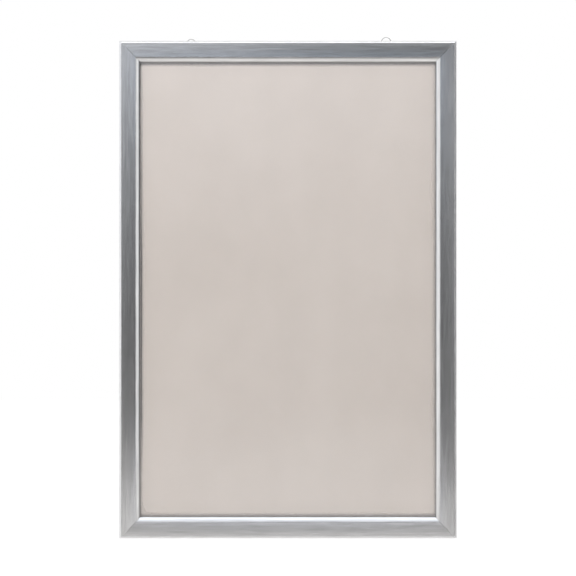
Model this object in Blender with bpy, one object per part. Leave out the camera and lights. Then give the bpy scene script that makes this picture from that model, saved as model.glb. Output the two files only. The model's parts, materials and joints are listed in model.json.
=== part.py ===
"""Snap-open aluminium poster frame, 24 x 36 inch, modelled at its real size.

Metres, +Z up. The frame hangs on a wall at y = 0 and faces -Y. The origin is the
middle of the bottom rail's back face. Every rail is one extrusion, drawn as an outline of
(u, v) points: u runs inwards from the frame's outer edge, v runs from the wall towards
the viewer.
"""

import math

import bmesh
import bpy
from mathutils import Matrix, Vector

MM = 0.001

# Poster and stack of sheets
POSTER_WIDTH = 609.6 * MM
POSTER_HEIGHT = 914.4 * MM
BACKING_THICKNESS = 1.5 * MM
COVER_THICKNESS = 0.8 * MM

# Clearances
GAP = 0.3 * MM
MITRE_CUTBACK = 0.25 * MM
CUT_OVERRUN = 2.0 * MM

# Base rail extrusion
RAIL_WALL = 1.4 * MM
TROUGH_WIDTH = 12.2 * MM
CHANNEL_HEIGHT = 3.2 * MM
CHANNEL_LIP_HEIGHT = 0.8 * MM
PLATFORM_SETBACK = 1.6 * MM
RIM_RADIUS = 1.0 * MM
RIM_BELOW_HINGE = 2.0 * MM
NECK_ROOT_DROP = 2.0 * MM
SPRING_RIB_WIDTH = 0.8 * MM
SPRING_RIB_HEIGHT = 1.2 * MM

# Hinge between base rail and front rail
BEAD_RADIUS = 1.5 * MM
HOOK_WALL = 1.2 * MM
HOOK_SIDE_GAP = 0.2 * MM
HINGE_BELOW_COVER = 0.5 * MM

# Front rail extrusion
FRONT_WALL = 1.3 * MM
LIP_REACH = 26.1 * MM
LIP_DROP = 7.7 * MM
FACE_WIDTH = 26.8 * MM
FACE_EDGE_BACK = 0.3 * MM
FACE_EDGE_BEVEL = 0.6 * MM
FACE_EDGE_RISE = 6.9 * MM
FACE_CROWN = 0.25 * MM
LEG_REACH = 2.8 * MM
NEXT_RAIL_CLEARANCE = 2.6 * MM

# Snap springs, bent from steel strip
SPRING_THICKNESS = 0.5 * MM
SPRING_WIDTH = 26.0 * MM
SHORT_RAIL_SPRING_COUNT = 2
LONG_RAIL_SPRING_COUNT = 3

# Wall screw holes
WALL_HOLE_RADIUS = 2.25 * MM
WALL_HOLE_INSET = 62.0 * MM

# Corner keys and their grub screws
KEY_LEG = 82.0 * MM
KEY_CHAMFER = 2.5 * MM
GRUB_RADIUS = 2.0 * MM
GRUB_SOCKET_RADIUS = 1.15 * MM
GRUB_SOCKET_DEPTH = 1.2 * MM
GRUB_INSET = 58.0 * MM
GRUB_ACCESS_RADIUS = 1.7 * MM
GRUB_FACE_SETBACK = 0.1 * MM

# Hangers: strap, D-ring and rivet
HANGER_INSET = 134.6 * MM
LEFT_HANGER_DROP = 3.4 * MM
RING_RADIUS = 9.05 * MM
RING_LEG = 4.0 * MM
RING_CORNER = 1.8 * MM
RING_WIRE_RADIUS = 0.75 * MM
STRAP_SHEET = 0.6 * MM
STRAP_WIDTH = 10.0 * MM
STRAP_TAIL = 7.0 * MM
STRAP_CORNER = 3.0 * MM
RIVET_OFFSET = 12.0 * MM
RIVET_SIDE_GAP = 1.1 * MM
RIVET_SHANK_RADIUS = 1.5 * MM
RIVET_HEAD_RADIUS = 3.1 * MM
RIVET_HEAD_HEIGHT = 1.1 * MM
RIVET_TAIL_RADIUS = 2.3 * MM
RIVET_TAIL_LENGTH = 1.9 * MM

# Angles in degrees. In the hinge section 0 points inwards and 90 towards the viewer. The lip
# follows its ellipse from LIP_START_ANGLE to 90, where 0 would be level and 90 is upright
SHARP_ANGLE = 32
LEFT_HANGER_TILT = 6
RIGHT_HANGER_TILT = 4
NECK_TOP_ANGLE = 207
NECK_BOTTOM_ANGLE = 243
HOOK_END_ANGLE = 102
HOOK_START_ANGLE = -107
ARM_JOIN_ANGLE = 72
LIP_START_ANGLE = 34
LEG_TOP_ANGLE = -42
LEG_BACK_ANGLE = -70
SPRING_TIP_ANGLE = -48
# The spring leg below the hook: an angle, and a share of LEG_REACH beyond the hook
LEG_OUTLINE_SHARES = [(-56, 0.475), (-54, 0.92), (-61, 1.0), (-69, 0.76)]
SPRING_TIP_SHARE = 0.61
SPRING_KNEE_SHARE = 0.68

# Facets
BEAD_STEPS = 18
HOOK_STEPS = 13
FACE_STEPS = 8
LIP_STEPS = 12
ROUND_STEPS = 20

# Sections worked out from the sizes above
HOOK_INNER = BEAD_RADIUS + GAP
HOOK_OUTER = HOOK_INNER + HOOK_WALL
HINGE_U = RAIL_WALL + HOOK_SIDE_GAP + HOOK_OUTER
LOCATOR_OUTER = RAIL_WALL + TROUGH_WIDTH
LOCATOR_INNER = LOCATOR_OUTER + RAIL_WALL
PANEL_EDGE = LOCATOR_INNER + GAP
INNER_EDGE = PANEL_EDGE + LIP_REACH
PLATFORM_EDGE = INNER_EDGE - PLATFORM_SETBACK
CHANNEL_TOP = RAIL_WALL + CHANNEL_HEIGHT
PLATFORM_TOP = CHANNEL_TOP + RAIL_WALL
BACKING_BACK = PLATFORM_TOP + GAP
COVER_BACK = BACKING_BACK + BACKING_THICKNESS + GAP
COVER_FRONT = COVER_BACK + COVER_THICKNESS
HINGE_V = COVER_FRONT - HINGE_BELOW_COVER
SPRING_FOOT_U = LOCATOR_OUTER - GAP - SPRING_THICKNESS / 2
SPRING_RIB_INNER = SPRING_FOOT_U - SPRING_THICKNESS / 2 - GAP
SPRING_RIB_OUTER = SPRING_RIB_INNER - SPRING_RIB_WIDTH
WALL_HOLE_U = (RAIL_WALL + SPRING_RIB_OUTER) / 2
KEY_OUTER = LOCATOR_INNER + GAP
KEY_INNER = PLATFORM_EDGE - RAIL_WALL - GAP
KEY_MIDDLE = (KEY_OUTER + KEY_INNER) / 2
KEY_BACK = RAIL_WALL + GAP
KEY_FRONT = CHANNEL_TOP - GAP
LEG_SWING = HOOK_OUTER + LEG_REACH
CORNER_TRIM = HINGE_U + LEG_SWING + NEXT_RAIL_CLEARANCE
RIVET_U = LOCATOR_INNER + RIVET_TAIL_RADIUS + RIVET_SIDE_GAP

# The whole frame
FRAME_WIDTH = POSTER_WIDTH + 2 * PANEL_EDGE
FRAME_HEIGHT = POSTER_HEIGHT + 2 * PANEL_EDGE
CENTRE = Vector((0, 0, FRAME_HEIGHT / 2 - PLATFORM_EDGE / 2))
TOP_EDGE_Z = CENTRE.z + FRAME_HEIGHT / 2

# Named clockwise as the viewer sees them, so each is a quarter turn on from the one before
SIDES = ("top", "right", "bottom", "left")
CORNERS = ("top_left", "top_right", "bottom_right", "bottom_left")
# Each hanger: how far it sits below the other, and its tilt
HANGERS = {
    "left": (LEFT_HANGER_DROP, LEFT_HANGER_TILT),
    "right": (0, RIGHT_HANGER_TILT),
}


def clear_scene():
    for thing in list(bpy.data.objects):
        bpy.data.objects.remove(thing)


def make_material(name, colour, roughness, metallic, alpha=1.0):
    material = bpy.data.materials.new(name)
    material.use_nodes = True
    shader = material.node_tree.nodes["Principled BSDF"]
    shader.inputs["Base Color"].default_value = (*colour, 1)
    shader.inputs["Roughness"].default_value = roughness
    shader.inputs["Metallic"].default_value = metallic
    shader.inputs["Alpha"].default_value = alpha
    material.diffuse_color = (*colour, alpha)
    return material


def add_object(name, mesh, material):
    item = bpy.data.objects.new(name, mesh)
    item.data.materials.append(material)
    bpy.context.scene.collection.objects.link(item)
    return item


def finish_mesh(name, bm):
    bmesh.ops.recalc_face_normals(bm, faces=bm.faces)
    mesh = bpy.data.meshes.new(name)
    bm.to_mesh(mesh)
    bm.free()
    return mesh


def shade_round(item):
    item.data.shade_smooth()
    item.data.set_sharp_from_angle(angle=math.radians(SHARP_ANGLE))


def polar(radius, degrees):
    """The point at that radius and angle round the hinge axis, as (u, v)."""
    turn = math.radians(degrees)
    return HINGE_U + radius * math.cos(turn), HINGE_V + radius * math.sin(turn)


def arc(centre, radius, start, end, steps):
    """Points along an arc, both ends included."""
    turns = [math.radians(start + (end - start) * i / steps) for i in range(steps + 1)]
    return [
        (centre[0] + radius * math.cos(t), centre[1] + radius * math.sin(t))
        for t in turns
    ]


def parallel(path, distance):
    """The open path moved sideways by distance, to its right as it is walked."""
    points = [Vector(p) for p in path]
    normals = []
    for a, b in zip(points, points[1:]):
        along = (b - a).normalized()
        normals.append(Vector((along.y, -along.x)))
    moved = []
    for i, point in enumerate(points):
        before = normals[max(i - 1, 0)]
        after = normals[min(i, len(normals) - 1)]
        middle = (before + after).normalized()
        moved.append(tuple(point + middle * distance / middle.dot(after)))
    return moved


def strip(path, thickness):
    """A closed outline of even thickness round an open path."""
    return parallel(path, -thickness / 2) + parallel(path, thickness / 2)[::-1]


def base_outline():
    rim_top = HINGE_V - RIM_BELOW_HINGE
    rim = arc((RIM_RADIUS, rim_top - RIM_RADIUS), RIM_RADIUS, 180, 90, 4)
    bead = arc(
        (HINGE_U, HINGE_V), BEAD_RADIUS, NECK_TOP_ANGLE, NECK_BOTTOM_ANGLE - 360, BEAD_STEPS
    )
    trough = [
        (RAIL_WALL, rim_top - NECK_ROOT_DROP),
        (RAIL_WALL, RAIL_WALL),
        (SPRING_RIB_OUTER, RAIL_WALL),
        (SPRING_RIB_OUTER, RAIL_WALL + SPRING_RIB_HEIGHT),
        (SPRING_RIB_INNER, RAIL_WALL + SPRING_RIB_HEIGHT),
        (SPRING_RIB_INNER, RAIL_WALL),
        (LOCATOR_OUTER, RAIL_WALL),
    ]
    locator = [
        (LOCATOR_OUTER, COVER_FRONT),
        (LOCATOR_INNER, COVER_FRONT),
        (LOCATOR_INNER, PLATFORM_TOP),
        (PLATFORM_EDGE, PLATFORM_TOP),
    ]
    lip_inner = PLATFORM_EDGE - RAIL_WALL
    channel = [
        (PLATFORM_EDGE, CHANNEL_TOP - CHANNEL_LIP_HEIGHT),
        (lip_inner, CHANNEL_TOP - CHANNEL_LIP_HEIGHT),
        (lip_inner, CHANNEL_TOP),
        (LOCATOR_INNER, CHANNEL_TOP),
        (LOCATOR_INNER, RAIL_WALL),
        (lip_inner, RAIL_WALL),
        (lip_inner, RAIL_WALL + CHANNEL_LIP_HEIGHT),
        (PLATFORM_EDGE, RAIL_WALL + CHANNEL_LIP_HEIGHT),
        (PLATFORM_EDGE, 0),
    ]
    return [(0, 0)] + rim + bead + trough + locator + channel


def face_points(start, ridge):
    """The gently crowned face, from its outer edge to the ridge."""
    points = []
    for i in range(FACE_STEPS + 1):
        share = i / FACE_STEPS
        u, v = Vector(start).lerp(Vector(ridge), share)
        points.append((u, v + FACE_CROWN * 4 * share * (1 - share)))
    return points


def lip_points(ridge):
    """An elliptical arc, from just past the ridge to the upright toe that meets the cover."""
    start = math.radians(LIP_START_ANGLE)
    wide = (INNER_EDGE - ridge.x) / (1 - math.sin(start))
    high = LIP_DROP / math.cos(start)
    middle = (INNER_EDGE - wide, ridge.y - LIP_DROP)
    step = (math.radians(90) - start) / LIP_STEPS
    turns = [start + step * (i + 1) for i in range(LIP_STEPS)]
    return [(middle[0] + wide * math.sin(t), middle[1] + high * math.cos(t)) for t in turns]


def front_outline():
    """Hook round the bead, arm, face, lip that rounds down to the cover, and spring leg."""
    edge = Vector((HINGE_U - FACE_EDGE_BACK, HINGE_V + FACE_EDGE_RISE))
    ridge = Vector((edge.x + FACE_WIDTH, COVER_FRONT + GAP + LIP_DROP))
    face = face_points(edge, ridge)
    lip = lip_points(ridge)
    hook_end = polar(HOOK_OUTER, HOOK_END_ANGLE)
    underside = parallel([hook_end] + face + lip, FRONT_WALL)[1:][::-1]
    up = (edge - Vector(hook_end)).normalized()
    along = (Vector(face[1]) - edge).normalized()
    face[0] = tuple(edge + along * FACE_EDGE_BEVEL)
    skin = [hook_end, tuple(edge - up * FACE_EDGE_BEVEL)] + face + lip
    hinge = (HINGE_U, HINGE_V)
    hook_right = arc(hinge, HOOK_OUTER, ARM_JOIN_ANGLE, LEG_TOP_ANGLE, HOOK_STEPS // 2)
    leg = [polar(HOOK_OUTER + LEG_REACH * share, a) for a, share in LEG_OUTLINE_SHARES]
    hook_back = arc(hinge, HOOK_OUTER, LEG_BACK_ANGLE, HOOK_START_ANGLE, 3)
    hook_inside = arc(hinge, HOOK_INNER, HOOK_START_ANGLE, HOOK_END_ANGLE, HOOK_STEPS)
    return skin + underside + hook_right + leg + hook_back + hook_inside


def spring_outline():
    """Hairpin spring: foot in the rib's groove, arch, and a tip against the front rail's leg."""
    near_u = HINGE_U + HOOK_OUTER + GAP + SPRING_THICKNESS / 2
    arch_radius = (SPRING_FOOT_U - near_u) / 2
    arch = arc((near_u + arch_radius, HINGE_V), arch_radius, 0, 180, 8)
    knee = (near_u, HINGE_V - LEG_REACH * SPRING_KNEE_SHARE)
    tip = polar(HOOK_OUTER + LEG_REACH * SPRING_TIP_SHARE, SPRING_TIP_ANGLE)
    return strip([(SPRING_FOOT_U, RAIL_WALL + GAP)] + arch + [knee, tip], SPRING_THICKNESS)


def rail_point(x, u, v):
    """A rail's own frame: x along it, u inwards (-Z), v to the viewer (-Y)."""
    return x, -v, -u


def extrude_face(bm):
    """Pulls the one flat face in bm into a prism, and gives the far end's vertices."""
    grown = bmesh.ops.extrude_face_region(bm, geom=bm.faces[:])["geom"]
    return [g for g in grown if isinstance(g, bmesh.types.BMVert)]


def mitred_rail(name, outline, length, material, origin=(0, 0)):
    """An extrusion with both ends cut at 45 degrees, its own origin at the (u, v) given."""
    bm = bmesh.new()
    near_end = []
    for u, v in outline:
        x = MITRE_CUTBACK + u - length / 2
        near_end.append(bm.verts.new(rail_point(x, u - origin[0], v - origin[1])))
    bm.faces.new(near_end)
    for vertex in extrude_face(bm):
        vertex.co.x = -vertex.co.x
    return add_object(name, finish_mesh(name, bm), material)


def prism(name, outline, x_start, x_end, material):
    """The outline as a straight bar between two places along the rail."""
    bm = bmesh.new()
    bm.faces.new([bm.verts.new(rail_point(x_start, u, v)) for u, v in outline])
    for vertex in extrude_face(bm):
        vertex.co.x = x_end
    return add_object(name, finish_mesh(name, bm), material)


def add_drum(bm, radius, y_start, y_end, x, z, sides=ROUND_STEPS):
    """A cylinder along Y, used for holes, screws and shanks."""
    place = Matrix.Translation((x, (y_start + y_end) / 2, z)) @ Matrix.Rotation(
        math.radians(90), 4, "X"
    )
    bmesh.ops.create_cone(
        bm,
        cap_ends=True,
        segments=sides,
        radius1=radius,
        radius2=radius,
        depth=abs(y_end - y_start),
        matrix=place,
    )


def add_block(bm, low, high):
    middle = (Vector(low) + Vector(high)) / 2
    size = Vector(high) - Vector(low)
    place = Matrix.Translation(middle) @ Matrix.Diagonal((*size, 1))
    bmesh.ops.create_cube(bm, size=1, matrix=place)


def cut_away(item, bm, name):
    """Takes the bmesh's shapes out of item, and keeps them as a hidden cutter."""
    cutter = add_object(name, finish_mesh(name, bm), item.data.materials[0])
    cutter.parent = item
    cutter.hide_render = True
    cutter.display_type = "WIRE"
    cut = item.modifiers.new("Cut", "BOOLEAN")
    cut.operation = "DIFFERENCE"
    cut.object = cutter


def quarter_turn(name, names):
    """The turn about Y that carries the first side or corner to this one."""
    return math.radians(90 * names.index(name))


def is_short(side):
    return side in ("top", "bottom")


def side_length(side):
    return FRAME_WIDTH if is_short(side) else FRAME_HEIGHT


def place_on_side(item, side, u=0, v=0):
    """Turns a piece made for the top rail on to its side, its own origin at (u, v)."""
    turn = quarter_turn(side, SIDES)
    reach = (FRAME_HEIGHT if is_short(side) else FRAME_WIDTH) / 2
    item.rotation_euler = (0, turn, 0)
    item.location = CENTRE + Matrix.Rotation(turn, 3, "Y") @ Vector((0, -v, reach - u))


def place_in_corner(item, corner, a=0, b=0):
    """Turns a piece made for the top left corner into its corner, at (a, b) inwards from it."""
    turn = quarter_turn(corner, CORNERS)
    x = FRAME_WIDTH / 2 if corner.endswith("right") else -FRAME_WIDTH / 2
    z = FRAME_HEIGHT / 2 if corner.startswith("top") else -FRAME_HEIGHT / 2
    item.rotation_euler = (0, turn, 0)
    item.location = CENTRE + Vector((x, 0, z)) + Matrix.Rotation(turn, 3, "Y") @ Vector((a, 0, -b))


def hanger_x(hanger):
    reach = FRAME_WIDTH / 2 - HANGER_INSET
    return -reach if hanger == "left" else reach


def base_rail(side, material):
    length = side_length(side)
    rail = mitred_rail(f"base_rail_{side}", base_outline(), length, material)
    cuts = bmesh.new()
    for end in (-1, 1):
        x = end * (length / 2 - WALL_HOLE_INSET)
        front = -RAIL_WALL - CUT_OVERRUN
        add_drum(cuts, WALL_HOLE_RADIUS, CUT_OVERRUN, front, x, -WALL_HOLE_U)
        x = end * (length / 2 - GRUB_INSET)
        add_drum(cuts, GRUB_ACCESS_RADIUS, CUT_OVERRUN, -RAIL_WALL - GAP, x, -KEY_MIDDLE)
    if side == "top":
        for hanger, (drop, _) in HANGERS.items():
            hole = RIVET_SHANK_RADIUS + GAP
            z = -RIVET_U - drop
            add_drum(cuts, hole, CUT_OVERRUN, -RAIL_WALL - GAP, hanger_x(hanger), z)
    cut_away(rail, cuts, f"base_rail_{side}_holes")
    shade_round(rail)
    place_on_side(rail, side)


def front_rail(side, material):
    """The hinged rail. Its hook and leg stop short of the mitres, to swing past the next rail."""
    length = side_length(side)
    hinge = (HINGE_U, HINGE_V)
    rail = mitred_rail(f"front_rail_{side}", front_outline(), length, material, hinge)
    trims = bmesh.new()
    swing = LEG_SWING + CUT_OVERRUN
    for end in (-1, 1):
        low, high = sorted([end * (length / 2 + CUT_OVERRUN), end * (length / 2 - CORNER_TRIM)])
        add_block(trims, (low, -HOOK_SIDE_GAP, -swing), (high, swing, swing))
    cut_away(rail, trims, f"front_rail_{side}_trims")
    shade_round(rail)
    place_on_side(rail, side, HINGE_U, HINGE_V)


def snap_springs(side, material):
    length = side_length(side)
    count = SHORT_RAIL_SPRING_COUNT if is_short(side) else LONG_RAIL_SPRING_COUNT
    for i in range(count):
        middle = length * ((i + 0.5) / count - 0.5)
        spring = prism(
            f"snap_spring_{side}_{i + 1}",
            spring_outline(),
            middle - SPRING_WIDTH / 2,
            middle + SPRING_WIDTH / 2,
            material,
        )
        shade_round(spring)
        place_on_side(spring, side)


def corner_key(corner, material):
    """A flat L that slides into the channels of two base rails."""
    chamfer = KEY_LEG - KEY_CHAMFER
    outline = [
        (KEY_OUTER, KEY_OUTER),
        (chamfer, KEY_OUTER),
        (KEY_LEG, KEY_OUTER + KEY_CHAMFER),
        (KEY_LEG, KEY_INNER - KEY_CHAMFER),
        (chamfer, KEY_INNER),
        (KEY_INNER, KEY_INNER),
        (KEY_INNER, chamfer),
        (KEY_INNER - KEY_CHAMFER, KEY_LEG),
        (KEY_OUTER + KEY_CHAMFER, KEY_LEG),
        (KEY_OUTER, chamfer),
    ]
    bm = bmesh.new()
    bm.faces.new([bm.verts.new((a, -KEY_BACK, -b)) for a, b in outline])
    for vertex in extrude_face(bm):
        vertex.co.y = -KEY_FRONT
    key = add_object(f"corner_key_{corner}", finish_mesh("corner_key", bm), material)
    holes = bmesh.new()
    for a, b in ((GRUB_INSET, KEY_MIDDLE), (KEY_MIDDLE, GRUB_INSET)):
        add_drum(
            holes, GRUB_RADIUS + GAP, -KEY_BACK + CUT_OVERRUN, -KEY_FRONT - CUT_OVERRUN, a, -b
        )
    cut_away(key, holes, f"corner_key_{corner}_holes")
    place_in_corner(key, corner)


def grub_screws(corner, material):
    """The two hex-socket grub screws that lock a key in its rails."""
    back = -KEY_BACK - GRUB_FACE_SETBACK
    front = -KEY_FRONT + GRUB_FACE_SETBACK
    for i, (a, b) in enumerate(((GRUB_INSET, KEY_MIDDLE), (KEY_MIDDLE, GRUB_INSET))):
        name = f"grub_screw_{corner}_{i + 1}"
        body = bmesh.new()
        add_drum(body, GRUB_RADIUS, back, front, 0, 0, 16)
        screw = add_object(name, finish_mesh(name, body), material)
        socket = bmesh.new()
        add_drum(socket, GRUB_SOCKET_RADIUS, CUT_OVERRUN, back - GRUB_SOCKET_DEPTH, 0, 0, 6)
        cut_away(screw, socket, f"{name}_socket")
        shade_round(screw)
        place_in_corner(screw, corner, a, b)


def sheet(name, back, thickness, material):
    """A flat sheet of the poster's size, its middle at its own origin."""
    bm = bmesh.new()
    add_block(
        bm,
        (-POSTER_WIDTH / 2, -back - thickness, -POSTER_HEIGHT / 2),
        (POSTER_WIDTH / 2, -back, POSTER_HEIGHT / 2),
    )
    panel = add_object(name, finish_mesh(name, bm), material)
    panel.location = CENTRE


def knuckle_bore():
    return RING_WIRE_RADIUS + GAP


def knuckle_outer():
    return knuckle_bore() + STRAP_SHEET


def pivot_y():
    """The ring's bar lies this far behind the rail's back face."""
    return GAP + knuckle_outer()


def place_on_hanger(item, hanger, y=0, z=0):
    """Puts a piece of a tilted hanger at (y, z) from its rivet's place on the rail's back."""
    drop, tilt = HANGERS[hanger]
    rivet = Vector((hanger_x(hanger), 0, TOP_EDGE_Z - RIVET_U - drop))
    item.location = rivet + Matrix.Rotation(math.radians(tilt), 3, "Y") @ Vector((0, y, z))
    item.rotation_euler = (0, math.radians(tilt), 0)


def hanger_strap(hanger, material):
    """A strap folded round the ring's bar into a doubled tongue. Its origin is the rivet's."""
    name = f"hanger_strap_{hanger}"
    outer = knuckle_outer()
    tongue_back = GAP + 2 * STRAP_SHEET
    dip = math.degrees(math.asin((pivot_y() - tongue_back) / outer))
    knuckle = arc((RIVET_OFFSET, pivot_y()), outer, -90, 180 + dip, 14)
    bm = bmesh.new()
    side = knuckle + [(-STRAP_TAIL, tongue_back), (-STRAP_TAIL, GAP)]
    bm.faces.new([bm.verts.new((-STRAP_WIDTH / 2, y, z)) for z, y in side])
    for vertex in extrude_face(bm):
        vertex.co.x = STRAP_WIDTH / 2
    corners = []
    for edge in bm.edges:
        at_end = all(abs(v.co.z + STRAP_TAIL) < GAP for v in edge.verts)
        if at_end and abs(edge.verts[0].co.x - edge.verts[1].co.x) < GAP:
            corners.append(edge)
    bmesh.ops.bevel(bm, geom=corners, offset=STRAP_CORNER, segments=4, profile=0.5, affect="EDGES")
    strap = add_object(name, finish_mesh(name, bm), material)
    cuts = bmesh.new()
    add_drum(cuts, RIVET_SHANK_RADIUS + GAP, -CUT_OVERRUN, tongue_back + CUT_OVERRUN, 0, 0)
    across = Matrix.Translation((0, pivot_y(), RIVET_OFFSET)) @ Matrix.Rotation(
        math.radians(90), 4, "Y"
    )
    bmesh.ops.create_cone(
        cuts,
        cap_ends=True,
        segments=ROUND_STEPS,
        radius1=knuckle_bore(),
        radius2=knuckle_bore(),
        depth=STRAP_WIDTH + CUT_OVERRUN,
        matrix=across,
    )
    cut_away(strap, cuts, f"{name}_holes")
    shade_round(strap)
    place_on_hanger(strap, hanger)


def hanger_ring(hanger, material):
    """A D-shaped wire ring, its origin on the axis of its straight bar."""
    side = RING_RADIUS - RING_CORNER
    path = arc((side, RING_CORNER), RING_CORNER, -90, 0, 4)
    path += arc((0, RING_LEG), RING_RADIUS, 0, 180, 16)
    path += arc((-side, RING_CORNER), RING_CORNER, 180, 270, 4)
    name = f"hanger_ring_{hanger}"
    curve = bpy.data.curves.new(name, "CURVE")
    curve.dimensions = "3D"
    curve.bevel_depth = RING_WIRE_RADIUS
    curve.bevel_resolution = 2
    spline = curve.splines.new("POLY")
    spline.points.add(len(path) - 1)
    for point, (x, z) in zip(spline.points, path):
        point.co = (x, 0, z, 1)
    spline.use_cyclic_u = True
    ring = add_object(name, curve, material)
    place_on_hanger(ring, hanger, pivot_y(), RIVET_OFFSET)


def hanger_rivet(hanger, material):
    """A blind rivet: domed head behind the strap, shank, and a bulb in the rail's channel."""
    head = GAP + 2 * STRAP_SHEET + GAP
    tail = -RAIL_WALL - GAP
    tail_end = tail - RIVET_TAIL_LENGTH
    profile = [(0, tail_end), (RIVET_TAIL_RADIUS - GAP, tail_end)]
    profile += [(RIVET_TAIL_RADIUS, tail_end + GAP), (RIVET_TAIL_RADIUS, tail)]
    profile += [(RIVET_SHANK_RADIUS, tail), (RIVET_SHANK_RADIUS, head)]
    for angle in (0, 30, 60):
        turn = math.radians(angle)
        profile.append(
            (RIVET_HEAD_RADIUS * math.cos(turn), head + RIVET_HEAD_HEIGHT * math.sin(turn))
        )
    profile.append((0, head + RIVET_HEAD_HEIGHT))
    bm = bmesh.new()
    verts = [bm.verts.new((r, y, 0)) for r, y in profile]
    edges = [bm.edges.new(pair) for pair in zip(verts, verts[1:])]
    bmesh.ops.spin(
        bm,
        geom=verts + edges,
        cent=(0, 0, 0),
        axis=(0, 1, 0),
        angle=math.radians(360),
        steps=ROUND_STEPS,
        use_merge=True,
    )
    bmesh.ops.remove_doubles(bm, verts=bm.verts, dist=GAP / 100)
    name = f"hanger_rivet_{hanger}"
    rivet = add_object(name, finish_mesh(name, bm), material)
    shade_round(rivet)
    place_on_hanger(rivet, hanger)


def main():
    clear_scene()
    anodised = make_material("anodised_aluminium", (0.58, 0.59, 0.61), 0.34, 1.0)
    mill = make_material("mill_aluminium", (0.62, 0.63, 0.64), 0.42, 1.0)
    zinc = make_material("zinc_plated_steel", (0.60, 0.60, 0.57), 0.38, 1.0)
    spring_steel = make_material("spring_steel", (0.42, 0.43, 0.45), 0.30, 1.0)
    nickel = make_material("nickel_wire", (0.68, 0.67, 0.64), 0.22, 1.0)
    board = make_material("backing_board", (0.60, 0.56, 0.52), 0.70, 0.0)
    film = make_material("matt_cover_film", (0.74, 0.70, 0.66), 0.32, 0.0, alpha=0.35)

    for side in SIDES:
        base_rail(side, mill)
        front_rail(side, anodised)
        snap_springs(side, spring_steel)
    for corner in CORNERS:
        corner_key(corner, zinc)
        grub_screws(corner, zinc)
    sheet("backing_board", BACKING_BACK, BACKING_THICKNESS, board)
    sheet("cover_sheet", COVER_BACK, COVER_THICKNESS, film)
    for hanger in HANGERS:
        hanger_strap(hanger, zinc)
        hanger_ring(hanger, nickel)
        hanger_rivet(hanger, mill)


main()
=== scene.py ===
import json
import math

import bmesh
import bpy
from mathutils import Matrix, Vector


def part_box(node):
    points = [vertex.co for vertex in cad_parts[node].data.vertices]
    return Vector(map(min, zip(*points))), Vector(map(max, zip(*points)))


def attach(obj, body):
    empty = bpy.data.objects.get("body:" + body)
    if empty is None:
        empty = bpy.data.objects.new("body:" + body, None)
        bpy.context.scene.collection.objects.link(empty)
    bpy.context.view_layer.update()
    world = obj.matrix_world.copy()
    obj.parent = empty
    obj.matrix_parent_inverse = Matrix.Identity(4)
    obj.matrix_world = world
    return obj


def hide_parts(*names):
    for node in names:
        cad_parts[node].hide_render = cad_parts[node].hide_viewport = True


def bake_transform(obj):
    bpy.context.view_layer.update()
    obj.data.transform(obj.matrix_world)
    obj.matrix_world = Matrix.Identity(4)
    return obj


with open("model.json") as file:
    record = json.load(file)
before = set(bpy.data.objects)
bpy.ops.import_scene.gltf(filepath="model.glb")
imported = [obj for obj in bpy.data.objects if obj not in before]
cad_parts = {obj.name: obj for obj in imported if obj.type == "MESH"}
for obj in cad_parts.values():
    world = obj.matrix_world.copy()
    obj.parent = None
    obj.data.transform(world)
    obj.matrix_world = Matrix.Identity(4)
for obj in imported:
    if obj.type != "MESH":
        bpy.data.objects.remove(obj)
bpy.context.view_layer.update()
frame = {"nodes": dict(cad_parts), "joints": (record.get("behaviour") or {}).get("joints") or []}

mm = 0.001
weld = 0.002 * mm  # vertices closer than this are merged
touching = 0.01 * mm  # and closer than this, they lie on the same line
crisp = 32  # degrees between two faces, from which their edge stays sharp
sides = ("top", "right", "bottom", "left")  # clockwise, each a quarter turn from the last
lying = ("top", "bottom")  # these run along x, the other two along z
hangers = ("left", "right")
nodes = frame["nodes"]

# the frame's outline, as the solids have it
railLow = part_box("base_rail_left")[0]
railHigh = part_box("base_rail_right")[1]
frameWidth = railHigh.x - railLow.x
frameHeight = railHigh.z - railLow.z
centre = Vector((0, 0, (railHigh.z + railLow.z) / 2))

section = {  # of one side's two rails: u inwards from the outer edge, v out from the wall
    "wall": 1.4 * mm,
    "hinge": (4.6 * mm, 8.4 * mm),
    "bead": 1.5 * mm,
    "beadEnds": (207, -117),  # degrees round the hinge, as all of the hook's angles are
    "rim": 1.0 * mm,
    "rimTop": 6.4 * mm,
    "neck": 2.0 * mm,  # from the top of the rim down to the wall's inner side
    "troughInner": 13.6 * mm,
    "rib": (11.7 * mm, 12.5 * mm, 1.2 * mm),
    "locatorTop": 8.9 * mm,
    "platformTop": 6.0 * mm,
    "platformEdge": 39.8 * mm,
    "channelTop": 4.6 * mm,
    "channelLip": 0.8 * mm,
    "hookInner": 1.8 * mm,
    "hookOuter": 3.0 * mm,
    "hookFront": 102,
    "hookMouth": -107,
    "hookMeetsFace": 72,
    "faceEdge": (4.3 * mm, 15.3 * mm),
    "ridge": (31.1 * mm, 16.9 * mm),
    "faceCrown": 0.25 * mm,
    "toe": (41.4 * mm, 9.2 * mm),  # where the lip presses on the sheet
    "lipStart": 34,  # degrees round the lip's ellipse, where 0 would be level
    "skin": 1.3 * mm,
    "leg": 2.8 * mm,
    "legEnds": (-42, -70),
    "legShape": ((-56, 0.475), (-54, 0.92), (-61, 1.0), (-69, 0.76)),  # degrees, share of it
    "mitreGap": 0.25 * mm,
    "cornerTrim": 13.0 * mm,  # how far in from the corners the hook and the leg end
    "trimSpare": 2.0 * mm,
    "trimFront": 0.2 * mm,
    "softCorner": 0.22 * mm,
    "sharpCorner": 13,  # degrees, from which a corner of the section is softened
}


def flat(point):
    # a point of the cross-section, in the space of the top rail with its outer edge at z = 0
    return Vector((0, -point[1], -point[0]))


def around(middle, radius, degrees):
    turn = math.radians(degrees)
    return middle[0] + radius * math.cos(turn), middle[1] + radius * math.sin(turn)


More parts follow.
